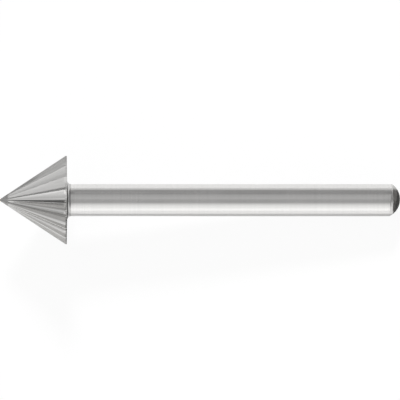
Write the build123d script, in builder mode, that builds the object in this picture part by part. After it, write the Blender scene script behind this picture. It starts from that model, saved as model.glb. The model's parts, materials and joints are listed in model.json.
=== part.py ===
from build123d import *
from math import asin, atan2, cos, degrees, hypot, radians, sin, sqrt, tan
import os

# A cone-headed rotary burr, turned, milled and ground from one bar of tool steel.
# It cannot stand, so it is modelled as it comes to rest on a table: on two tooth
# crests of the rim and on the edge of its shank, tip towards -X, Z = 0 the table.

# Driving dimensions, in millimetres and degrees
SHANK_DIAMETER = 3.0
HEAD_DIAMETER = 8.25
POINT_ANGLE = 67.0  # included angle of the cone
OVERALL_LENGTH = 37.35  # from the tip to the crown of the domed end
TIP_RADIUS = 0.06
RIM_LAND = 0.11  # short cylinder behind the cone
BACK_RISE = 0.05  # the back of the head swells this much towards the neck
NECK_RADIUS = 0.37
DOME_RADIUS = 1.73
DOME_OFFSET = 0.07  # the dome was ground a little off the axis, towards +Y
EDGE_BREAK = 0.15  # radius where the ground shank meets its dome
TEETH = 20
TOOTH_DEPTH = 0.72  # at the rim, to the sharp corner between relief and rake
TOOTH_LAND = 0.05  # uncut crest left at the rim
RELIEF_RADIUS = 2.2  # hollow of the relief face at the rim
FLUTE_RADIUS = 0.34  # rounds that sharp corner at the rim
FLUTE_START = 0.4  # distance from the point of the cone where the flutes run out
MILL_CLEARANCE = 0.3  # how far the flute mill stands clear of the metal it does not cut

# Places along the burr's own axis, measured from the sharp point of its cone
SHANK_RADIUS = SHANK_DIAMETER / 2
HEAD_RADIUS = HEAD_DIAMETER / 2
HALF_POINT = radians(POINT_ANGLE / 2)
TIP_CENTRE = TIP_RADIUS / sin(HALF_POINT)
TIP = TIP_CENTRE - TIP_RADIUS
RIM = HEAD_RADIUS / tan(HALF_POINT)
BACK = RIM + RIM_LAND
NECK = BACK + BACK_RISE
CROWN = TIP + OVERALL_LENGTH
DOME_CENTRE = CROWN - DOME_RADIUS

# The tilt at rest. A pair of crests straddles the lowest line of the rim evenly, and the
# line from them to the shank is tangent to the rounded edge of the shank, whose radius
# is centred EDGE_BREAK inside both the ground cylinder and the ball of the dome.
PITCH = 360 / TEETH
LAND_ANGLE = degrees(TOOTH_LAND / HEAD_RADIUS)
STRADDLE = (PITCH - LAND_ANGLE) / 2
REST_RADIUS = HEAD_RADIUS * cos(radians(STRADDLE))
EDGE_RADIUS = SHANK_RADIUS - EDGE_BREAK
EDGE_CENTRE = DOME_CENTRE + sqrt((DOME_RADIUS - EDGE_BREAK) ** 2 - EDGE_RADIUS**2 - DOME_OFFSET**2)
REST_DROP = REST_RADIUS - EDGE_RADIUS
REST_SPAN = EDGE_CENTRE - BACK
TILT = atan2(REST_DROP, REST_SPAN) - asin(EDGE_BREAK / hypot(REST_DROP, REST_SPAN))

# The turning plane has its origin at the point of the cone and its normal along the
# axis, from tip to shank. Its X axis looks up, square to the burr.
ALONG = Vector(cos(TILT), 0, -sin(TILT))
UP = Vector(sin(TILT), 0, cos(TILT))
POINT = Vector(
    -(TIP + CROWN) / 2 * cos(TILT),
    0,
    BACK * sin(TILT) + REST_RADIUS * cos(TILT),
)
TURNING = Plane(origin=POINT, x_dir=UP, z_dir=ALONG)
PROFILE = Plane(origin=POINT, x_dir=UP, z_dir=Vector(0, 1, 0))

# The mill that cuts one flute, in the burr's own frame with the axis on Z. At the rim it
# is a wedge: a hollow relief face that falls from the crest to the root, and a radial rake
# face at the next crest. It narrows to a point, so the flutes grow shallow towards the tip.
MILL_POINT_RADIUS = FLUTE_START * TOOTH_DEPTH / (RIM - FLUTE_START)
RAKE = Vector(1, 0).rotate(Axis.Z, PITCH)
ROOT = RAKE * (HEAD_RADIUS - TOOTH_DEPTH)
RELIEF = Vector(HEAD_RADIUS, 0).rotate(Axis.Z, LAND_ANGLE) - ROOT
HOLLOW = degrees(asin(RELIEF.length / 2 / RELIEF_RADIUS))
RELIEF_TURN = 2 * HOLLOW + degrees(2 * MILL_CLEARANCE / RELIEF_RADIUS)

with BuildPart() as flute:
    with BuildSketch(Plane.XY.offset(RIM)) as wedge:
        with BuildLine():
            relief = JernArc(ROOT, RELIEF.rotate(Axis.Z, -HOLLOW), RELIEF_RADIUS, RELIEF_TURN)
            Polyline(relief @ 1, RAKE * (HEAD_RADIUS + MILL_CLEARANCE), ROOT)
        make_face()
        fillet(wedge.vertices().sort_by_distance(ROOT)[0], FLUTE_RADIUS)
    loft([Vertex(*(RAKE * MILL_POINT_RADIUS)), wedge.sketch], ruled=True)
    extrude(wedge.sketch, amount=RIM_LAND + MILL_CLEARANCE)

with BuildPart(TURNING) as burr:
    # The domed end: a stub of the shank, ground to a ball a little off its axis
    with Locations((0, 0, DOME_CENTRE)):
        Cylinder(SHANK_RADIUS, 2 * DOME_RADIUS, align=(Align.CENTER, Align.CENTER, Align.MIN))
    with Locations((0, -DOME_OFFSET, DOME_CENTRE)):
        Sphere(DOME_RADIUS, mode=Mode.INTERSECT)
    fillet(burr.edges().filter_by(GeomType.BSPLINE), EDGE_BREAK)

    # The turned and ground blank: half its outline, revolved about the axis
    with BuildSketch(PROFILE) as blank:
        with BuildLine():
            tip_arc = CenterArc((0, TIP_CENTRE), TIP_RADIUS, -90, 90 - POINT_ANGLE / 2)
            Polyline(
                tip_arc @ 1,
                (HEAD_RADIUS, RIM),
                (HEAD_RADIUS, BACK),
                (SHANK_RADIUS, NECK),
                (SHANK_RADIUS, DOME_CENTRE),
                (0, DOME_CENTRE),
                tip_arc @ 0,
            )
        make_face()
        fillet(blank.vertices().sort_by_distance((SHANK_RADIUS, NECK))[0], NECK_RADIUS)
    revolve(axis=Axis(POINT, ALONG))

    # The milled teeth, two crests either side of the lowest line of the rim
    with PolarLocations(0, TEETH, start_angle=180 + STRADDLE):
        add(flute.part, mode=Mode.SUBTRACT)

burr.part.label = "burr"
os.makedirs("parts", exist_ok=True)
export_step(burr.part, "parts/burr.step")
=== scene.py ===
# %% [markdown]
# # A cone-headed rotary burr
# A rotary burr is a small cutter for a hand-held spindle. The whole tool is one bar of
# hardened steel: a point, a cone of milled teeth, a short neck, a ground shank and a
# domed end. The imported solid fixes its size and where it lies. This lesson gives it its
# surface, tooth by tooth, then its finishes, and lights it as the photograph does.

import json
from math import atan2, cos, degrees, hypot, pi, radians, sin, sqrt, tan

import bpy
import numpy as np
from mathutils import Matrix, Vector


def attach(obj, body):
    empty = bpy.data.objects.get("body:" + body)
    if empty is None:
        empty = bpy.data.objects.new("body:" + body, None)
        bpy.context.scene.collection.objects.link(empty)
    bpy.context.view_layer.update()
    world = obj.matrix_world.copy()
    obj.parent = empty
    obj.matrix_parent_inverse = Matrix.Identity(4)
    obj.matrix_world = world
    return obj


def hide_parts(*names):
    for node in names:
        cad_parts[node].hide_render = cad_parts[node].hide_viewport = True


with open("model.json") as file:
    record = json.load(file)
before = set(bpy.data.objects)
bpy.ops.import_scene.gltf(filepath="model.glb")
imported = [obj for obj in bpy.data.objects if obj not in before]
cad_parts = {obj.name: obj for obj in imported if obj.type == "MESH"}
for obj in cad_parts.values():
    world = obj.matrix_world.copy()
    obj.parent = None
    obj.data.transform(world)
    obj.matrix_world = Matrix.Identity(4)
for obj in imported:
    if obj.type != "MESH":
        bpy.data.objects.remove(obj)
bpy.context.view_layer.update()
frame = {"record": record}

# %% [markdown]
# ## The burr's own axis
# The burr lies on a table, on two tooth crests and the edge of its shank, so its axis
# is tilted a little. Rather than work that tilt out again, the record is asked: its
# mount "shank" holds a point on the axis and the way that the shank points. All shapes
# below are made along that axis, measured from the sharp point of the cone.

# %% The axis, read from the frame
MM = 0.001
shank = next(m for m in frame["record"]["mounts"] if m["name"] == "shank")
along = Vector(shank["axis"]).normalized()
across = Vector((0, -1, 0))
upward = across.cross(along)
print("axis tilt, degrees:", round(degrees(atan2(-along.z, along.x)), 3))

# %% [markdown]
# ## Sizes
# These are the driving sizes of the tool, in metres, and the places that follow from
# them. The head's radius is taken at the crests, and half the point angle is the slope
# of the cone. A place is a distance along the axis from the sharp point of the cone.

# %% Sizes of the tool
SHANK_RADIUS = shank["dims"]["r_mm"] * MM
HEAD_RADIUS = 8.25 / 2 * MM
HALF_POINT = radians(67 / 2)
LENGTH = 37.35 * MM
TIP_RADIUS = 0.06 * MM
RIM_LAND = 0.11 * MM
BACK_RISE = 0.05 * MM
NECK_RADIUS = 0.37 * MM
DOME_RADIUS = 1.73 * MM
DOME_OFFSET = 0.07 * MM
EDGE_BREAK = 0.15 * MM
TEETH = 20
TOOTH_DEPTH = 0.72 * MM
TOOTH_LAND = 0.05 * MM
RELIEF_RADIUS = 2.2 * MM
FLUTE_RADIUS = 0.34 * MM
FLUTE_START = 0.4 * MM

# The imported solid's dome is faceted, so a true dome ends this much earlier, to stay inside.
CROWN_TRIM = 0.002 * MM

TIP = TIP_RADIUS / sin(HALF_POINT) - TIP_RADIUS
RIM = HEAD_RADIUS / tan(HALF_POINT)
BACK = RIM + RIM_LAND
CROWN = TIP + LENGTH - CROWN_TRIM
DOME_CENTRE = CROWN - DOME_RADIUS
BACK_SLOPE = BACK_RISE / (HEAD_RADIUS - SHANK_RADIUS)
NECK_START = BACK + BACK_SLOPE * (HEAD_RADIUS - SHANK_RADIUS - NECK_RADIUS)
NECK_END = NECK_START + NECK_RADIUS * hypot(1, BACK_SLOPE)

# The mount gives the axis, and the solid's first vertex along it is the tip, which lies
# a hair behind the sharp point of the cone that all places are measured from.
solid = bpy.data.objects["burr"]
on_axis = Vector(shank["pos_m"])
tip_place = min((solid.matrix_world @ v.co - on_axis).dot(along) for v in solid.data.vertices)
point = on_axis + along * (tip_place - TIP)
PITCH = 2 * pi / TEETH
STRADDLE = (PITCH - TOOTH_LAND / HEAD_RADIUS) / 2
FIRST_CREST = pi + STRADDLE
print("rim at", round(RIM / MM, 3), "neck ends at", round(NECK_END / MM, 3),
      "crown at", round(CROWN / MM, 3), "mm from the point")

# %% [markdown]
# ## From section to space
# Every ring of the surface is a closed outline in a plane square to the axis. A ring
# is kept as two flat coordinates, `x` towards `upward` and `y` towards `across`, with a
# distance along the axis. One function lifts rings into the frame.

# %% Lift rings into the frame
def polar(angle):
    """Unit vectors at the given angles: cosine and sine, stacked on a last axis."""
    return np.stack([np.cos(angle), np.sin(angle)], axis=-1)


def lift(flat, place):
    """point + x times upward + y times across + place times along, for whole arrays."""
    basis = np.array([upward, across, along])
    rings = np.concatenate([flat, np.broadcast_to(place, flat.shape[:-1])[..., None]], axis=-1)
    return rings @ basis + np.array(point)


# %% [markdown]
# ## The teeth
# On the real burr a cutter with a rounded corner mills twenty flutes down the cone. Its
# path dips below the cone towards the rim, so each flute starts as nothing near the tip
# and is deepest at the back. Between two flutes stands a tooth: a narrow land, a hollow
# relief face that falls away behind it, a rounded root, and the radial rake face of the
# next tooth. A boolean would give this too, but with slivers at the tip. The section has
# a formula, so the teeth are made as a grid instead: one direction follows the section,
# the other runs along the cone. Grid lines then lie exactly on every cutting edge.
#
# At the rim the relief is an arc between the crest and a sharp corner on the rake line,
# and the root is a smaller arc that rounds this corner. Both centres follow from that.

# %% The mill's section at the rim
def quarter_turn(vector):
    """The flat vector turned a quarter of a turn, from x towards y."""
    return np.stack([-vector[..., 1], vector[..., 0]], axis=-1)


def unit(vector):
    """The vector at length 1."""
    return vector / np.linalg.norm(vector, axis=-1, keepdims=True)


rake_way = polar(PITCH)
corner = rake_way * (HEAD_RADIUS - TOOTH_DEPTH)
rake_side = quarter_turn(rake_way)
chord = HEAD_RADIUS * polar(TOOTH_LAND / HEAD_RADIUS) - corner
half_chord = np.linalg.norm(chord) / 2
rise_of_arc = sqrt(RELIEF_RADIUS**2 - half_chord**2)
relief_centre = corner + chord / 2 + quarter_turn(unit(chord)) * rise_of_arc
between_centres = RELIEF_RADIUS - FLUTE_RADIUS
reach = sqrt(between_centres**2 - (relief_centre @ -rake_side - FLUTE_RADIUS) ** 2)
rake_foot = rake_way * (relief_centre @ rake_way - reach)
root_centre = rake_foot - rake_side * FLUTE_RADIUS
relief_foot = relief_centre - unit(relief_centre - root_centre) * RELIEF_RADIUS
flute_depth = HEAD_RADIUS - np.linalg.norm(root_centre) + FLUTE_RADIUS
print("flute depth at the rim", round(flute_depth / MM, 3), "mm")

# %% [markdown]
# Towards the tip the whole section shrinks to the mill's own point, a hair off the axis,
# while the cone shrinks to its point. So the flutes get shallow faster than the cone
# gets thin. Where an arc of the section meets the cone is the crossing of two circles.

# %% The section at every station along the cone
LAND_STEPS, RELIEF_STEPS, ROOT_STEPS, RAKE_STEPS = 2, 6, 7, 3
MILL_POINT = FLUTE_START * TOOTH_DEPTH / (RIM - FLUTE_START)


def steps(count):
    """Fractions from 0 up to, but not including, 1."""
    return np.arange(count) / count


def crossing(centre, radius, outer, side):
    """Where circles about centre and about the axis cross, on the side given by -1 or 1."""
    away = np.linalg.norm(centre, axis=-1, keepdims=True)
    foot = (outer**2 - radius**2 + away**2) / (2 * away)
    half = np.sqrt(np.maximum(outer**2 - foot**2, 0))
    return unit(centre) * foot + side * quarter_turn(unit(centre)) * half


def shorter_way(angle):
    """The same turn as angle, by the shorter way round: from minus pi to pi."""
    return (angle + pi) % (2 * pi) - pi


def bow(centre, start, end, count):
    """Points along the shorter arc about centre from start to end, without the end."""
    first, last = start - centre, end - centre
    angle = np.arctan2(first[:, 1], first[:, 0])[:, None]
    turn = shorter_way(np.arctan2(last[:, 1], last[:, 0])[:, None] - angle)
    radius = np.linalg.norm(first, axis=1)[:, None, None]
    return centre[:, None] + radius * polar(angle + turn * steps(count))


def tooth_section(place):
    """The outline of one pitch of the head, for an array of places along the axis.

    share is place over rim, and each point of the mill's section is a blend of the
    mill's point and its place at the rim by that share. The land is an arc of the cone,
    the relief and the root are arcs of the section, and the rake is the straight line
    from the root out to the cone. Where the mill isn't yet in the metal, all of it is an
    arc of the cone.
    """
    share = np.clip(place / RIM, 0, 1)[:, None]
    outer = share * HEAD_RADIUS
    mill_point = rake_way * MILL_POINT * (1 - share)
    bowl = mill_point + relief_centre * share
    well = mill_point + root_centre * share
    relief_end = mill_point + relief_foot * share
    rake_end = mill_point + rake_foot * share
    top = crossing(bowl, RELIEF_RADIUS * share, outer, -1)
    last = crossing(well, FLUTE_RADIUS * share, outer, 1)
    has_rake = np.linalg.norm(rake_end, axis=1, keepdims=True) < outer
    rake_start = np.where(has_rake, rake_end, last)
    land_angle = np.arctan2(top[:, 1], top[:, 0])
    land = outer[..., None] * polar(land_angle[:, None] * steps(LAND_STEPS))
    relief = bow(bowl, top, relief_end, RELIEF_STEPS)
    root = bow(well, relief_end, rake_start, ROOT_STEPS)
    rake_line = (outer * rake_way - rake_start)[:, None]
    rake = rake_start[:, None] + rake_line * steps(RAKE_STEPS)[:, None]
    section = np.concatenate([land, relief, root, rake], axis=1)
    plain = outer[..., None] * polar(PITCH * steps(section.shape[1]))
    milled = np.linalg.norm(relief_end, axis=1, keepdims=True) < outer
    return np.where(milled[..., None], section, plain)


def whole_outline(section):
    """The section repeated round the axis: each copy is the last turned by one pitch."""
    turns = FIRST_CREST + PITCH * np.arange(TEETH)
    spin = np.stack([np.cos(turns), np.sin(turns), -np.sin(turns), np.cos(turns)], axis=-1)
    copies = np.einsum("kij,spi->skpj", spin.reshape(TEETH, 2, 2), section)
    return copies.reshape(len(section), -1, 2)


PER_TOOTH = LAND_STEPS + RELIEF_STEPS + ROOT_STEPS + RAKE_STEPS
ROUND = PER_TOOTH * TEETH
print(ROUND, "points round the axis")

# %% [markdown]
# ## The profile of the turned parts
# Everything but the teeth is turned or ground, so it is rings of one radius. The
# profile runs from the tip ball down the cone, over the rim, in across the back, round
# the neck, along the shank and over the dome. Rings sit close together where the
# profile curves and far apart where it is straight.

# %% Places of the rings
BALL_RINGS, SMOOTH_STEPS, FLUTE_STEPS, NECK_RINGS = 5, 5, 44, 11
POLE_OPENING = 0.2
FLUTE_CROWDING = 1.5


def arc(centre_radius, centre_place, radius, start, end, count):
    """Points of a circular arc in the profile plane: radius and place, ends included."""
    angle = np.linspace(start, end, count)
    out, forward = radius * np.cos(angle), radius * np.sin(angle)
    return np.stack([centre_radius + out, centre_place + forward], axis=1)


ball_angle = -pi / 2 + POLE_OPENING
tip_ball = arc(0, TIP_RADIUS / sin(HALF_POINT), TIP_RADIUS, ball_angle, -HALF_POINT, BALL_RINGS)
smooth_tip = np.linspace(tip_ball[-1, 1], FLUTE_START, SMOOTH_STEPS + 1)[1:]
fluted_share = np.linspace(0, 1, FLUTE_STEPS + 1)[1:] ** FLUTE_CROWDING
fluted = FLUTE_START + (RIM - FLUTE_START) * fluted_share
neck_angle = -pi / 2 - np.arctan(BACK_SLOPE)
neck = arc(SHANK_RADIUS + NECK_RADIUS, NECK_END, NECK_RADIUS, neck_angle, -pi, NECK_RINGS)
print(len(fluted), "rings down the flutes and", len(neck), "round the neck")

# %% [markdown]
# ## All rings, from the tip to the shank
# The rings are stacked in order. On the head they follow the tooth section, and from the
# neck on their points are evenly spaced. Across the back of the head each ring is a step
# on the way from the toothed outline to an even circle, so the flutes end at the back
# face and the columns of the grid run straight on.

# %% Two outlines
head_places = np.concatenate([smooth_tip, fluted])
head = whole_outline(tooth_section(head_places))
rim_outline = whole_outline(tooth_section(np.array([RIM])))[0]
rim_radius = np.linalg.norm(rim_outline, axis=1)
rim_angle = np.arctan2(rim_outline[:, 1], rim_outline[:, 0])
even = FIRST_CREST + 2 * pi * np.arange(ROUND) / ROUND
print("the rim's radius goes from", round(rim_radius.min() / MM, 3),
      "to", round(rim_radius.max() / MM, 3), "mm")

# %% Stack the rings
LAND_SHARES = (0.33, 0.67)
BACK_RING = HEAD_RADIUS - 1.2 * TOOTH_DEPTH
BACK_SHARES = (0.25, 0.5, 0.75, 1)
BACK_STEPS = 7
rings, places = [], []


def back_place(radius):
    """The back face swells from the rim towards the neck by a fixed slope."""
    return BACK + BACK_SLOPE * (HEAD_RADIUS - radius)


def add_ring(flat, place):
    """Keeps one ring: its flat points, and one place or a place for each point."""
    rings.append(flat)
    places.append(np.broadcast_to(place, len(flat)))


for radius, place in tip_ball:
    add_ring(radius * polar(even), place)
for flat, place in zip(head, head_places):
    add_ring(flat, place)
for share in LAND_SHARES:
    add_ring(rim_outline, RIM + RIM_LAND * share)
add_ring(rim_outline, back_place(rim_radius))
for share in BACK_SHARES:
    radius = rim_radius + (BACK_RING - rim_radius) * share
    angle = rim_angle + shorter_way(even - rim_angle) * share
    add_ring(radius[:, None] * polar(angle), back_place(radius))
for radius in np.linspace(BACK_RING, neck[0, 0], BACK_STEPS + 1)[1:-1]:
    add_ring(radius * polar(even), back_place(radius))
for radius, place in neck:
    add_ring(radius * polar(even), place)
print(len(rings), "rings to the neck")

# %% [markdown]
# ## The domed end
# The end was ground to a ball, a little off the shank's axis, so the edge between shank
# and dome runs in a slight wave. A small ball that rolls along this edge, touching the
# shank and the dome from inside, gives its rounding: its centre stays inside both by its
# own radius, and it touches each straight out from its centre.

# %% The rolling ball
dome_centre = np.array([0, -DOME_OFFSET, DOME_CENTRE])
ball = (SHANK_RADIUS - EDGE_BREAK) * polar(even)
off_dome_squared = ((ball - dome_centre[:2]) ** 2).sum(1)
ball_place = DOME_CENTRE + np.sqrt((DOME_RADIUS - EDGE_BREAK) ** 2 - off_dome_squared)
ball = np.column_stack([ball, ball_place])
from_axis = np.column_stack([polar(even), np.zeros(ROUND)])
from_dome = unit(ball - dome_centre)
opening = np.arccos((from_axis * from_dome).sum(1))[:, None]
print("the edge's wave, mm:", round(np.ptp(ball_place) / MM, 3))

# %% [markdown]
# The shank's rings change step by step from the straight end of the neck to the wave of
# the edge. The edge's rings follow the small ball, and the dome's rings close in on the
# dome's own pole.

# %% Shank, edge and dome
SHANK_STEPS, EDGE_RINGS, DOME_STEPS = 40, 6, 18
SHANK_CROWDING = 1.15


def between(share):
    """Unit vectors at a share of the way from from_axis to from_dome, along an arc."""
    blend = np.sin((1 - share) * opening) * from_axis + np.sin(share * opening) * from_dome
    return blend / np.sin(opening)


for share in np.linspace(0, 1, SHANK_STEPS + 1)[1:-1] ** SHANK_CROWDING:
    add_ring(SHANK_RADIUS * polar(even), NECK_END + (ball_place - NECK_END) * share)
for share in np.linspace(0, 1, EDGE_RINGS):
    touch = ball + EDGE_BREAK * between(share)
    add_ring(touch[:, :2], touch[:, 2])
azimuth = np.arctan2(from_dome[:, 1], from_dome[:, 0])
lean = np.arccos(from_dome[:, 2])
for share in np.linspace(1, 0, DOME_STEPS + 1)[1:-1]:
    flat = dome_centre[:2] + DOME_RADIUS * np.sin(lean * share)[:, None] * polar(azimuth)
    add_ring(flat, DOME_CENTRE + DOME_RADIUS * np.cos(lean * share))
print(len(rings), "rings in all")

# %% [markdown]
# ## One closed mesh
# Rings become rows of a grid, the last column joins the first, and a fan of triangles
# closes each pole. The count of teeth round the axis and the millimetres walked along
# the surface are kept as the mesh's UV map, so that a finish can follow the surface.

# %% Build the mesh
def closed_grid(name, points, poles, uv):
    """Quads between neighbouring rings, wrapped round, and a fan at each end.

    Ring r, column c is vertex r * columns + c. The faces are wound so that they point
    away from the axis. uv holds the map's two numbers for every ring and column, with
    one more column than the grid, so that the seam doesn't run backwards.
    """
    rows, columns = points.shape[:2]
    vertex = np.arange(rows * columns).reshape(rows, columns)
    right = np.roll(vertex, -1, axis=1)
    quads = np.stack([vertex[:-1], right[:-1], right[1:], vertex[1:]], axis=-1).reshape(-1, 4)
    first_pole, last_pole = rows * columns, rows * columns + 1
    start = np.stack([np.full(columns, first_pole), right[0], vertex[0]], axis=-1)
    end = np.stack([np.full(columns, last_pole), vertex[-1], right[-1]], axis=-1)
    mesh = bpy.data.meshes.new(name)
    coordinates = np.concatenate([points.reshape(-1, 3), poles])
    mesh.from_pydata(coordinates.tolist(), [], quads.tolist() + start.tolist() + end.tolist())
    here, below = uv[:-1], uv[1:]
    quad_uv = np.stack([here[:, :-1], here[:, 1:], below[:, 1:], below[:, :-1]], axis=2)
    middle = (uv[:, :-1] + uv[:, 1:]) / 2
    start_uv = np.stack([middle[0], uv[0, 1:], uv[0, :-1]], axis=1)
    end_uv = np.stack([middle[-1], uv[-1, :-1], uv[-1, 1:]], axis=1)
    layer = mesh.uv_layers.new(name="surface")
    corners = np.concatenate([part.reshape(-1, 2) for part in (quad_uv, start_uv, end_uv)])
    layer.data.foreach_set("uv", corners.astype(np.float32).ravel())
    return mesh


flat_rings = np.array(rings)
ring_places = np.array(places)
points = lift(flat_rings, ring_places)
poles = lift(np.array([[0.0, 0.0], dome_centre[:2]]), np.array([TIP, CROWN]))
tooth_count = np.broadcast_to(np.linspace(0, TEETH, ROUND + 1), (len(rings), ROUND + 1))
ring_steps = np.linalg.norm(np.diff(points, axis=0), axis=2).mean(1)
walked = np.concatenate([[0], np.cumsum(ring_steps)])[:, None] / MM
uv = np.stack([tooth_count, np.broadcast_to(walked, tooth_count.shape)], axis=-1)
mesh = closed_grid("burr_surface", points, poles, uv)
mesh.validate()
print(len(mesh.vertices), "vertices,", len(mesh.polygons), "faces")

# %% [markdown]
# ## Edges
# Faces are shaded smoothly, and an edge is sharp where the surface turns by more than
# a set angle, so the cutting edges and the rim stay crisp.

# %% Shade and mark the sharp edges
EDGE_TURN = radians(24)
mesh.shade_smooth()
mesh.set_sharp_from_angle(angle=EDGE_TURN)
burr = bpy.data.objects.new("burr_steel", mesh)
bpy.context.scene.collection.objects.link(burr)
print("edges that turn by more than", round(degrees(EDGE_TURN)), "degrees are sharp")

# %% [markdown]
# ## Zones
# The finish changes along the axis: milled flutes on the head, a turned back, a ground
# shank that includes most of the neck's curve, and a domed end. Each face gets its
# finish by the place of its centre.

# %% Give each face its zone
RIM_MARGIN = 0.01 * MM
TURNED_HEIGHT = 0.13 * MM
centres = np.zeros(len(mesh.polygons) * 3)
mesh.polygons.foreach_get("center", centres)
face_place = (centres.reshape(-1, 3) - np.array(point)) @ np.array(along)
zone_ends = np.array([BACK - RIM_MARGIN, BACK + TURNED_HEIGHT, ball_place.min()])
zone = np.searchsorted(zone_ends, face_place)
mesh.polygons.foreach_set("material_index", zone.astype(np.int32))
print("faces in each zone:", np.bincount(zone))

# %% [markdown]
# ## Steel
# A metal's colour is the colour of its reflection, so the finishes below share one
# steel colour and differ in how rough they are, which way their tool marks run, how
# much dark scale lies on them, and where painted shade darkens them. Each finish is a
# small node tree round one Principled BSDF. To keep these trees short to write, a few
# helpers each add a node or two to a tree and give back the output that the next step needs.

# %% A new metal
STEEL = (0.726, 0.72, 0.709)


def fresh_tree(owner, output_type):
    """Switches an owner's nodes on, and leaves nothing but an output in its tree."""
    owner.use_nodes = True
    tree = owner.node_tree
    tree.nodes.clear()
    return tree, tree.nodes.new(output_type)


def new_metal(name):
    """A node material with nothing but a metallic Principled BSDF."""
    material = bpy.data.materials.new(name)
    tree, output = fresh_tree(material, "ShaderNodeOutputMaterial")
    shader = tree.nodes.new("ShaderNodeBsdfPrincipled")
    shader.inputs["Metallic"].default_value = 1.0
    tree.links.new(shader.outputs[0], output.inputs[0])
    return material, tree, shader


def plug(tree, value, socket):
    """Fills a socket: an output is linked to it, and a number or a colour is set in it."""
    if isinstance(value, bpy.types.NodeSocket):
        tree.links.new(value, socket)
    else:
        socket.default_value = value


# %% [markdown]
# A pattern needs coordinates. Turned and ground steel reads the piece's Object
# coordinates, turned to the burr's axis, and milled steel reads the mesh's own map.
# Noise that is stretched far more one way than the others becomes fine parallel lines.

# %% Coordinates and noise
def stretched(tree, vector, stretch):
    """The vector, with each axis multiplied by its own number."""
    scaled = tree.nodes.new("ShaderNodeMapping")
    scaled.inputs["Scale"].default_value = stretch
    tree.links.new(vector, scaled.inputs["Vector"])
    return scaled.outputs["Vector"]


def axis_coordinates(tree, stretch):
    """Object coordinates turned so that Z is the burr's axis, then stretched per axis."""
    source = tree.nodes.new("ShaderNodeTexCoord")
    turned = tree.nodes.new("ShaderNodeMapping")
    turned.inputs["Rotation"].default_value = Matrix((upward, across, along)).to_euler()
    tree.links.new(source.outputs["Object"], turned.inputs["Vector"])
    return stretched(tree, turned.outputs["Vector"], stretch)


def surface_coordinates(tree, stretch):
    """The piece's own map: teeth round the axis, millimetres along the surface."""
    source = tree.nodes.new("ShaderNodeUVMap")
    source.uv_map = "surface"
    return stretched(tree, source.outputs["UV"], stretch)


def noise(tree, vector, detail, roughness=0.5):
    """A noise texture of scale 1 that reads an already stretched vector."""
    texture = tree.nodes.new("ShaderNodeTexNoise")
    texture.inputs["Scale"].default_value = 1.0
    texture.inputs["Detail"].default_value = detail
    texture.inputs["Roughness"].default_value = roughness
    tree.links.new(vector, texture.inputs["Vector"])
    return texture.outputs["Fac"]


# %% [markdown]
# Values are then worked out from these. A value can be an output or a plain number.

# %% Working with values
def math_node(tree, operation, first, second=0.0):
    """One Math node of one or two values."""
    node = tree.nodes.new("ShaderNodeMath")
    node.operation = operation
    plug(tree, first, node.inputs[0])
    plug(tree, second, node.inputs[1])
    return node.outputs[0]


def product(tree, first, *others):
    """The first value times all the others."""
    for other in others:
        first = math_node(tree, "MULTIPLY", first, other)
    return first


def sum_of(tree, terms, start=0.0):
    """start plus each term: a term is an output and the factor that it is taken by."""
    for value, factor in terms:
        step = tree.nodes.new("ShaderNodeMath")
        step.operation = "MULTIPLY_ADD"
        for socket, part in zip(step.inputs, (value, factor, start)):
            plug(tree, part, socket)
        start = step.outputs[0]
    return start


def spread(tree, value, low, high, from_low=0.3, from_high=0.7):
    """Maps a range to the range low to high, clamped. The first is a noise's usual one."""
    mapped = tree.nodes.new("ShaderNodeMapRange")
    ends = {"From Min": from_low, "From Max": from_high, "To Min": low, "To Max": high}
    for name, number in ends.items():
        mapped.inputs[name].default_value = number
    tree.links.new(value, mapped.inputs["Value"])
    return mapped.outputs["Result"]


def rise(tree, value, low, high):
    """0 up to low, 1 from high on, and a smooth step between. low may be the larger."""
    step = tree.nodes.new("ShaderNodeMapRange")
    step.interpolation_type = "SMOOTHSTEP"
    step.inputs["From Min"].default_value = min(low, high)
    step.inputs["From Max"].default_value = max(low, high)
    step.inputs["To Min"].default_value = float(low > high)
    step.inputs["To Max"].default_value = float(low < high)
    tree.links.new(value, step.inputs["Value"])
    return step.outputs["Result"]


# %% [markdown]
# A stain or a worn spot sits at a place on the burr, which is measured in millimetres
# from the point of the cone. A border that moves with a noise looks ragged, as scale is.

# %% Places on the burr
def along_way(tree, way):
    """Millimetres from the cone's point along a direction: a dot product less its start."""
    source = tree.nodes.new("ShaderNodeTexCoord")
    dot = tree.nodes.new("ShaderNodeVectorMath")
    dot.operation = "DOT_PRODUCT"
    dot.inputs[1].default_value = way / MM
    tree.links.new(source.outputs["Object"], dot.inputs[0])
    return math_node(tree, "SUBTRACT", dot.outputs["Value"], point.dot(way) / MM)


def off_axis(tree):
    """Millimetres from the axis: the root of the sum of two squared distances."""
    parts = [along_way(tree, way) for way in (upward, across)]
    squares = [product(tree, part, part) for part in parts]
    return math_node(tree, "POWER", math_node(tree, "ADD", *squares), 0.5)


def distance_from(tree, value, middle):
    """How far a value is from a number, either way."""
    return math_node(tree, "ABSOLUTE", math_node(tree, "SUBTRACT", value, middle))


def ragged(tree, value, patches, reach):
    """The value, moved by a noise by up to reach either way."""
    return math_node(tree, "ADD", value, spread(tree, patches, -reach, reach))


# %% [markdown]
# Tool marks are a bump and, at the same lines, a slight change of brightness.

# %% Colours and tool marks
def tint(colour, factor=1.0):
    """The colour times a factor, with the fourth number that a colour socket wants."""
    return (*(c * factor for c in colour), 1)


def mix_colours(tree, share, first, second):
    """A colour between two, by a share from 0 to 1."""
    mix = tree.nodes.new("ShaderNodeMix")
    mix.data_type = "RGBA"
    for name, value in (("Factor", share), ("A", first), ("B", second)):
        plug(tree, value, mix.inputs[name])
    return mix.outputs["Result"]


def lined_steel(tree, lines, low, high):
    """The steel colour, from low to high times as bright along the lines."""
    return mix_colours(tree, spread(tree, lines, 0, 1), tint(STEEL, low), tint(STEEL, high))


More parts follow.
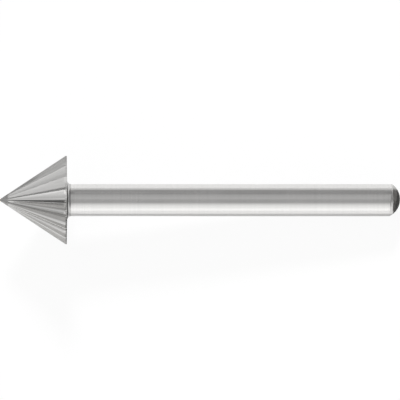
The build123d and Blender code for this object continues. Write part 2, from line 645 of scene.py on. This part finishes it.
def bump(tree, shader, height, strength, distance):
    """Tool marks as bump: the height's full range is the given distance."""
    marks = tree.nodes.new("ShaderNodeBump")
    marks.inputs["Strength"].default_value = strength
    marks.inputs["Distance"].default_value = distance
    tree.links.new(height, marks.inputs["Height"])
    tree.links.new(marks.outputs["Normal"], shader.inputs["Normal"])


# %% [markdown]
# ## The finishes
# The shank was ground between centres, so its fine lines run round it. Grinding reaches
# into the neck's curve and stops there with a faint line. The curve is a little darker
# than the shank beyond it.
#
# A pair of numbers below is a range for `rise` or `spread`. Lengths are millimetres.

# %% Ground steel
SCALE_AND_SHADE_BLACK = (0.02, 0.019, 0.018)
GRINDING_LINES = (150, 150, 30000)
GROUND_CLOUDS = (300, 300, 300)
GROUND_ROUGHNESS = (0.17, 0.22)
GRIND_STOP = NECK_END / MM - 0.06
NECK_FADE, NECK_SHADE = 0.03, 0.28
STOP_LINE, STOP_SHADE = (0.05, 0.01), 0.3


def ground_steel():
    """Shank and neck: grinding lines round the axis, a faint line where they stop."""
    material, tree, shader = new_metal("ground_steel")
    lines = noise(tree, axis_coordinates(tree, GRINDING_LINES), detail=3, roughness=0.6)
    clouds = noise(tree, axis_coordinates(tree, GROUND_CLOUDS), detail=2)
    colour = lined_steel(tree, lines, low=0.95, high=1.04)
    place = along_way(tree, along)
    neck_side = rise(tree, place, GRIND_STOP + NECK_FADE, GRIND_STOP - NECK_FADE)
    stop_line = rise(tree, distance_from(tree, place, GRIND_STOP), *STOP_LINE)
    for share, shade in ((neck_side, NECK_SHADE), (stop_line, STOP_SHADE)):
        colour = mix_colours(tree, product(tree, share, shade), colour, tint(SCALE_AND_SHADE_BLACK))
    plug(tree, colour, shader.inputs["Base Color"])
    plug(tree, spread(tree, clouds, *GROUND_ROUGHNESS), shader.inputs["Roughness"])
    bump(tree, shader, lines, strength=0.15, distance=0.002 * MM)
    return material


# %% [markdown]
# The mill leaves fine lines along each flute, from the tip to the rim. They are drawn
# in the mesh's own map, so that they fan out with the teeth. Wear has rubbed the very
# tip dull. A thin trace of oil takes the shine off the far half of the teeth, and it
# dried to a duller film at both sides. The far side is also darkened, most towards the
# tip: that is painted shade. On the near half the roots are darkened a little, and the
# rim's land is darkened most in the gaps: painted shade as well.
#
# Most of these are placed by `side`: 1 at the far side of the cone, -1 at the near one.
# The painted root shade finds the roots by the map's fraction of a tooth, which is 0 at a crest.

# %% Where the teeth get painted shade
# Painted shade in the roots of the near half:
ROOT_MIDDLE, ROOT_WIDTH = 0.42, (0.26, 0.13)
ROOT_SHADE_FROM, ROOT_SHADE_TO = (-0.15, -0.35), (-0.8, -0.65)
# Painted shade on the rim's land, most in the gaps:
ON_LAND = (RIM / MM + 0.01, RIM / MM + 0.04)
LAND_SHADE_FROM = (-0.4, -0.46)
GAP_RADIUS, CREST_RADIUS, CREST_SHADE = 3.5, 4.0, 0.35


def cone_side(tree, place):
    """The distance towards the far side, as a share of the cone's radius at the place."""
    radius = product(tree, place, tan(HALF_POINT))
    return math_node(tree, "DIVIDE", along_way(tree, -across), radius)


def painted_root_shade(tree, side):
    """Painted shade: how near to a root, between two sides of the near half."""
    turn = tree.nodes.new("ShaderNodeSeparateXYZ")
    tree.links.new(surface_coordinates(tree, (1, 1, 1)), turn.inputs["Vector"])
    in_tooth = math_node(tree, "FRACT", turn.outputs["X"])
    root = rise(tree, distance_from(tree, in_tooth, ROOT_MIDDLE), *ROOT_WIDTH)
    return product(tree, root, rise(tree, side, *ROOT_SHADE_FROM), rise(tree, side, *ROOT_SHADE_TO))


def painted_land_shade(tree, place, side):
    """Painted shade on the rim's land and the near half: 1 in the gaps, and less at the crests."""
    depth = spread(tree, off_axis(tree), 1, CREST_SHADE, GAP_RADIUS, CREST_RADIUS)
    return product(tree, rise(tree, place, *ON_LAND), rise(tree, side, *LAND_SHADE_FROM), depth)


# %% Milled steel
FLUTE_LINES = (30, 0.35, 1)
MILLED_CLOUDS = (900, 900, 900)
MILLED_ROUGHNESS = (0.12, 0.18)
WORN = (1.0, 0.75)
# The far film dulls the far teeth and also darkens them; that darkening, more towards the tip, is
# painted shade.
FAR_FILM_AND_SHADE, NEAR_FILM = (0.76, 0.84), (-0.72, -0.8)
FAR_TIP_SHADE = (4.4, 2.8)
OILED = (0.1, 0.35)
WORN_DARK, WORN_DULL = 0.35, 0.25
FAR_SHADE_DARK, FILM_DULL = 0.12, 0.2
FAR_TIP_SHADE_DARK, OIL_DULL = 0.3, 0.25
ROOT_SHADE_DARK, LAND_SHADE_DARK = 0.15, 0.8


def milled_steel():
    """Teeth: lines along each flute, a worn tip, films of oil, and painted shade on the far side,
    in the roots and on the land.
    """
    material, tree, shader = new_metal("milled_steel")
    lines = noise(tree, surface_coordinates(tree, FLUTE_LINES), detail=3, roughness=0.6)
    clouds = noise(tree, axis_coordinates(tree, MILLED_CLOUDS), detail=3)
    place = along_way(tree, along)
    side = cone_side(tree, place)
    worn = rise(tree, place, *WORN)
    far_film_and_shade = rise(tree, side, *FAR_FILM_AND_SHADE)
    # dark: the worn tip, and painted shade on the far side, in the roots and on the land.
    dark = sum_of(tree, (
        (worn, WORN_DARK),
        (far_film_and_shade, FAR_SHADE_DARK),
        (product(tree, far_film_and_shade, rise(tree, place, *FAR_TIP_SHADE)), FAR_TIP_SHADE_DARK),
        (painted_root_shade(tree, side), ROOT_SHADE_DARK),
        (painted_land_shade(tree, place, side), LAND_SHADE_DARK)))
    dull = sum_of(tree, (
        (far_film_and_shade, FILM_DULL),
        (rise(tree, side, *NEAR_FILM), FILM_DULL),
        (rise(tree, side, *OILED), OIL_DULL),
        (worn, WORN_DULL)), spread(tree, clouds, *MILLED_ROUGHNESS))
    steel = lined_steel(tree, lines, low=0.9, high=1.05)
    colour = mix_colours(tree, dark, steel, tint(SCALE_AND_SHADE_BLACK))
    plug(tree, colour, shader.inputs["Base Color"])
    plug(tree, dull, shader.inputs["Roughness"])
    bump(tree, shader, lines, strength=0.2, distance=0.004 * MM)
    return material


# %% [markdown]
# The back of the head and the foot of the neck are as the lathe left them, with rings
# round the axis. The corner between them is painted with shade: a dark, dull cover with
# a ragged border that lies all round, but fades out on the far side.
#
# Where such a cover lies, here and as scale on the dome, the shader is less metallic,
# rougher and duller.

# %% Turned steel
SCALE_AND_SHADE_DARK = (0.06, 0.057, 0.054)
SCALE_GLOSS = 0.12
LATHE_LINES = (400, 400, 14000)
CORNER_PATCHES = (900, 900, 900)
CORNER_EDGE = (SHANK_RADIUS + NECK_RADIUS) / MM + 0.15
CORNER_FADE = 0.5
CORNER_SHADE_FAR_FADE = (-1.4, -0.6)
TURNED_ROUGHNESS = (0.36, 0.6)


def scale_and_shade_over(tree, shader, steel, scale, cover, roughness):
    """Bare steel with a dark cover over it, by a share: scale on the dome, painted shade in the
    neck's corner. roughness is a pair: steel's, cover's.
    """
    plug(tree, mix_colours(tree, cover, steel, scale), shader.inputs["Base Color"])
    plug(tree, spread(tree, cover, 1, 0, from_low=0, from_high=1), shader.inputs["Metallic"])
    plug(tree, spread(tree, cover, *roughness, from_low=0, from_high=1), shader.inputs["Roughness"])
    shader.inputs["Specular IOR Level"].default_value = SCALE_GLOSS


def turned_steel():
    """Back and foot of the neck: turned rings, with painted shade in the corner."""
    material, tree, shader = new_metal("turned_steel")
    patches = noise(tree, axis_coordinates(tree, CORNER_PATCHES), detail=4, roughness=0.6)
    lines = noise(tree, axis_coordinates(tree, LATHE_LINES), detail=3, roughness=0.6)
    radius = ragged(tree, off_axis(tree), patches, reach=0.2)
    towards_near = ragged(tree, along_way(tree, across), patches, reach=0.3)
    # The dark cover in the corner is painted shade, and it fades out on the far side.
    corner_shade = rise(tree, radius, CORNER_EDGE + CORNER_FADE, CORNER_EDGE)
    cover = product(tree, corner_shade, rise(tree, towards_near, *CORNER_SHADE_FAR_FADE))
    # scale here is the colour of that painted shade.
    scale = mix_colours(tree, spread(tree, lines, 0, 1), tint(SCALE_AND_SHADE_BLACK), tint(SCALE_AND_SHADE_DARK))
    steel = lined_steel(tree, lines, low=0.6, high=0.8)
    scale_and_shade_over(tree, shader, steel, scale, cover, TURNED_ROUGHNESS)
    bump(tree, shader, lines, strength=0.3, distance=0.004 * MM)
    return material


# %% [markdown]
# The end was ground to a dome before hardening, so it wears scale. It is rubbed
# bright along the edge, has less scale by the edge on the far side, is grey and
# blotched over most of the dome, and nearly black in the middle and down the near side.

# %% Scaled steel
SCALE_GREY = (0.15, 0.146, 0.14)
DOME_PATCHES = (1500, 1500, 1500)
DOME_BLOTCHES = (2600, 2600, 2600)
SCALE_EDGE, EDGE_FADE = 36.7, 0.04
BLACK_START, BLACK_FADE = 37.04, 0.1
BLACK_SHARE, BLACK_LEAN = 0.85, 0.24
DOME_FAR_CLEAR, FAR_CLEAR_SHARE = (-0.75, -1.15), 0.65
SCALED_ROUGHNESS = (0.22, 0.6)


def dome_cover(tree, place, towards_near, patches):
    """Scale from a ragged edge on, less a share by the edge on the far side."""
    on_dome = ragged(tree, place, patches, reach=0.06)
    on_dome = rise(tree, on_dome, SCALE_EDGE - EDGE_FADE, SCALE_EDGE + EDGE_FADE)
    by_edge = rise(tree, place, BLACK_START + BLACK_FADE, BLACK_START)
    far_clear = product(tree, rise(tree, towards_near, *DOME_FAR_CLEAR), by_edge, FAR_CLEAR_SHARE)
    return product(tree, on_dome, math_node(tree, "SUBTRACT", 1.0, far_clear))


def black_middle(tree, place, towards_near, blotches):
    """Black from a blotched border on, which comes forward towards the near side."""
    near = product(tree, math_node(tree, "MAXIMUM", towards_near), BLACK_LEAN)
    reach = ragged(tree, math_node(tree, "ADD", place, near), blotches, reach=0.12)
    return product(tree, rise(tree, reach, BLACK_START, BLACK_START + BLACK_FADE), BLACK_SHARE)


def scaled_steel():
    """Dome: bare by the edge, then grey scale with a ragged border, black in the middle."""
    material, tree, shader = new_metal("scaled_steel")
    patches = noise(tree, axis_coordinates(tree, DOME_PATCHES), detail=4, roughness=0.6)
    blotches = noise(tree, axis_coordinates(tree, DOME_BLOTCHES), detail=4, roughness=0.65)
    place = along_way(tree, along)
    towards_near = along_way(tree, across)
    cover = dome_cover(tree, place, towards_near, patches)
    grey = mix_colours(tree, spread(tree, blotches, 0, 1), tint(SCALE_AND_SHADE_DARK), tint(SCALE_GREY))
    black = black_middle(tree, place, towards_near, blotches)
    scale = mix_colours(tree, black, grey, tint(SCALE_AND_SHADE_BLACK))
    steel = lined_steel(tree, patches, low=0.8, high=0.95)
    scale_and_shade_over(tree, shader, steel, scale, cover, SCALED_ROUGHNESS)
    bump(tree, shader, patches, strength=0.3, distance=0.01 * MM)
    return material


# %% [markdown]
# The four finishes go on the mesh in the order of its zones.

# %% Give the piece its finishes
for make in (milled_steel, turned_steel, ground_steel, scaled_steel):
    mesh.materials.append(make())
print([m.name for m in mesh.materials])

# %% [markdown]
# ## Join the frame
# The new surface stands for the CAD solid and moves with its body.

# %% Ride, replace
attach(burr, "root")
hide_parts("burr")

# %% [markdown]
# ## The camera
# The photograph looks almost square at the axis, from far off and a hair from the tip's
# side. Three numbers measured in it, in pixels, set the scale and the place: the width
# of the shank, the point of the cone and the height of the axis. The burr lies with two
# crests on the table, and the photograph shows the teeth turned by about a quarter of a
# pitch from that, so the camera goes round the axis by that much.

# %% Where the camera looks
PHOTO_WIDTH = 400
SHANK_PIXELS = 32.2
POINT_PIXEL = -1.3
AXIS_PIXEL = 200.1
CAMERA_TURN = radians(5.05)
CAMERA_LEAD = radians(0.47)
CAMERA_DISTANCE = 1.0
SENSOR = 36.0
pixel = 2 * SHANK_RADIUS / SHANK_PIXELS
width = PHOTO_WIDTH * pixel
square = upward * cos(CAMERA_TURN) + across * sin(CAMERA_TURN)
image_up = square.cross(along)
towards = square * cos(CAMERA_LEAD) - along * sin(CAMERA_LEAD)
aim = point + along * (PHOTO_WIDTH / 2 - POINT_PIXEL) * pixel
aim += image_up * (AXIS_PIXEL - PHOTO_WIDTH / 2) * pixel
print("a pixel is", round(pixel / MM, 4), "mm, and the frame", round(width / MM, 2), "mm wide")

# %% Camera
camera_data = bpy.data.cameras.new("camera")
camera_data.sensor_width = SENSOR
camera_data.lens = SENSOR * CAMERA_DISTANCE / width
camera_data.clip_start = 0.01
camera_data.clip_end = 10
camera = bpy.data.objects.new("camera", camera_data)
facing = Matrix((image_up.cross(towards), image_up, towards)).transposed().to_4x4()
camera.matrix_world = Matrix.Translation(aim + towards * CAMERA_DISTANCE) @ facing
bpy.context.scene.collection.objects.link(camera)
bpy.context.scene.camera = camera
print("lens", round(camera_data.lens, 1), "mm")

# %% [markdown]
# ## The floor
# The floor is matt white paper under the lights. The photograph's background is pure
# white, so most of what the camera sees of the floor glows at strength 1, and the rest
# keeps the burr's soft shadow. A little of that glow goes to reflections too.

# %% Floor
FLOOR_HALF = 3.0
PAPER = 0.95
GLOW_TO_CAMERA = 0.92
GLOW_TO_STEEL = 0.1


def white_paper():
    """Matt white, with a glow of strength 1 mixed in for the rays that should see white."""
    material = bpy.data.materials.new("white_paper")
    tree, output = fresh_tree(material, "ShaderNodeOutputMaterial")
    paper = tree.nodes.new("ShaderNodeBsdfDiffuse")
    paper.inputs["Color"].default_value = tint((PAPER, PAPER, PAPER))
    glow = tree.nodes.new("ShaderNodeEmission")
    glow.inputs["Strength"].default_value = 1.0
    path = tree.nodes.new("ShaderNodeLightPath")
    share = sum_of(tree, (
        (path.outputs["Is Camera Ray"], GLOW_TO_CAMERA),
        (path.outputs["Is Glossy Ray"], GLOW_TO_STEEL),
        (path.outputs["Is Transmission Ray"], GLOW_TO_STEEL)))
    either = tree.nodes.new("ShaderNodeMixShader")
    for socket, value in zip(either.inputs, (share, paper.outputs[0], glow.outputs[0])):
        tree.links.new(value, socket)
    tree.links.new(either.outputs[0], output.inputs[0])
    return material


floor_mesh = bpy.data.meshes.new("floor")
floor_corners = [(-1, -1), (1, -1), (1, 1), (-1, 1)]
floor_points = [(x * FLOOR_HALF, y * FLOOR_HALF, 0) for x, y in floor_corners]
floor_mesh.from_pydata(floor_points, [], [(0, 1, 2, 3)])
floor_mesh.materials.append(white_paper())
floor = bpy.data.objects.new("floor", floor_mesh)
bpy.context.scene.collection.objects.link(floor)
print("the floor is", 2 * FLOOR_HALF, "m across")

# %% [markdown]
# ## The lights
# Steel shows what stands around it, so the room makes its look more than its colour does.
# The room is an even grey with soft panels in it. A broad one low on the side towards
# the foot of the picture draws the wide highlight along the shank, and long strips on
# both sides draw its narrow ones. Boxes and a panel beyond the tip light the teeth, and
# one past the shank's end lights the neck's curve. Dark cards between them put the
# darker lines back into the steel.
#
# A lamp from the far side lights the paper and throws the soft shadow that darkens the
# steel's lower edge. The lamp itself doesn't mirror in the steel.

# %% Room
ROOM = 0.34


def towards_sky(around, beyond):
    """A direction: degrees round the burr from straight up, with the far side positive,
    and then degrees from there towards the tip."""
    turn, lean = radians(around), radians(beyond)
    return Vector((-sin(lean), sin(turn) * cos(lean), cos(turn) * cos(lean)))


# Each panel: where it stands, to how many degrees from its middle it is full, from how
# many it is gone, its level, and how many times longer it is along the burr than across.
PANELS = {
    "near": (towards_sky(-73, 0), 8, 57, 0.78, 1.0),
    "near_strip": (towards_sky(-78, 0), 2, 14, 0.2, 3.0),
    "far_strip": (towards_sky(82, 0), 2, 14, 0.38, 3.0),
    "overhead": (towards_sky(12, 0), 14, 34, 0.14, 2.0),
    "box_near": (towards_sky(-30, 18), 3, 24, 0.28, 1.0),
    "box_far": (towards_sky(50, 18), 3, 24, 0.8, 1.0),
    "beyond_tip": (towards_sky(0, 32), 10, 44, 0.36, 1.0),
    "low_strip": (towards_sky(92, 62), 3, 22, 1.45, 1.0),
    "dark_tip_far": (towards_sky(80, 58), 12, 44, -0.24, 1.0),
    "dark_side": (towards_sky(70, 18), 3, 24, -0.28, 1.0),
    "dark_far": (towards_sky(48, 0), 4, 14, -0.1, 3.0),
    "dark_lens": (towards_sky(-4, 0), 2, 9, -0.1, 3.0),
    "dark_corner": (towards_sky(-90, 72), 3, 24, -0.3, 1.0),
    "dark_near": (towards_sky(-50, -30), 3, 24, -0.4, 1.0),
    "near_tip": (towards_sky(-35, 45), 4, 26, 0.2, 1.0),
    "beyond_shank": (towards_sky(-78, -52), 6, 30, 0.45, 1.0),
}


# %% [markdown]
# The world is one background, as strong as the level of the room plus that of each panel
# that a ray meets. The direction of the ray is all that this needs, so the panels have
# soft borders, need no objects, and stay far away wherever the burr is seen from.

# %% Build the room
def vector_node(tree, operation, vector, fixed=None):
    """One Vector Math node on a linked vector and, where there is one, a fixed vector."""
    node = tree.nodes.new("ShaderNodeVectorMath")
    node.operation = operation
    tree.links.new(vector, node.inputs[0])
    if fixed is not None:
        node.inputs[1].default_value = fixed
    return node


def panel_light(tree, sky, direction, full, none, length):
    """How much of a panel a ray sees, 0 to 1.

    The ray is squeezed along the burr by the panel's length and made a unit vector
    again. Its cosine with the panel's direction then fades from none to full.
    """
    squeeze = Vector((1 / length, 1, 1))
    squeezed = vector_node(tree, "MULTIPLY", sky, squeeze)
    ray = vector_node(tree, "NORMALIZE", squeezed.outputs[0])
    middle = (direction * squeeze).normalized()
    cosine = vector_node(tree, "DOT_PRODUCT", ray.outputs[0], middle)
    return rise(tree, cosine.outputs["Value"], cos(radians(none)), cos(radians(full)))


world = bpy.data.worlds.new("studio")
bpy.context.scene.world = world
tree, output = fresh_tree(world, "ShaderNodeOutputWorld")
sky = tree.nodes.new("ShaderNodeTexCoord").outputs["Generated"]
panels = [(panel_light(tree, sky, way, full, none, length), level)
          for way, full, none, level, length in PANELS.values()]
room = tree.nodes.new("ShaderNodeBackground")
room.inputs["Color"].default_value = (1, 1, 1, 1)
tree.links.new(sum_of(tree, panels, ROOM), room.inputs["Strength"])
tree.links.new(room.outputs[0], output.inputs[0])
print(len(PANELS), "panels and cards in the room")

# %% Lamp
LAMP_HEIGHT = 33
LAMP_LEVEL = 0.52
LAMP_SOFTNESS = 10

# A sun of strength pi, straight above a white floor, lights it to level 1.
lamp_data = bpy.data.lights.new("lamp", "SUN")
lamp_data.energy = LAMP_LEVEL * pi / sin(radians(LAMP_HEIGHT))
lamp_data.angle = radians(LAMP_SOFTNESS)
lamp = bpy.data.objects.new("lamp", lamp_data)
lamp.rotation_euler = towards_sky(90 - LAMP_HEIGHT, 0).to_track_quat("Z", "Y").to_euler()
lamp.visible_glossy = False
bpy.context.scene.collection.objects.link(lamp)
print("the lamp adds", LAMP_LEVEL, "to the level of the floor")

# %% [markdown]
# ## Finish
# Colours are shown as they are written.

# %% Finish
bpy.context.scene.view_settings.view_transform = "Standard"
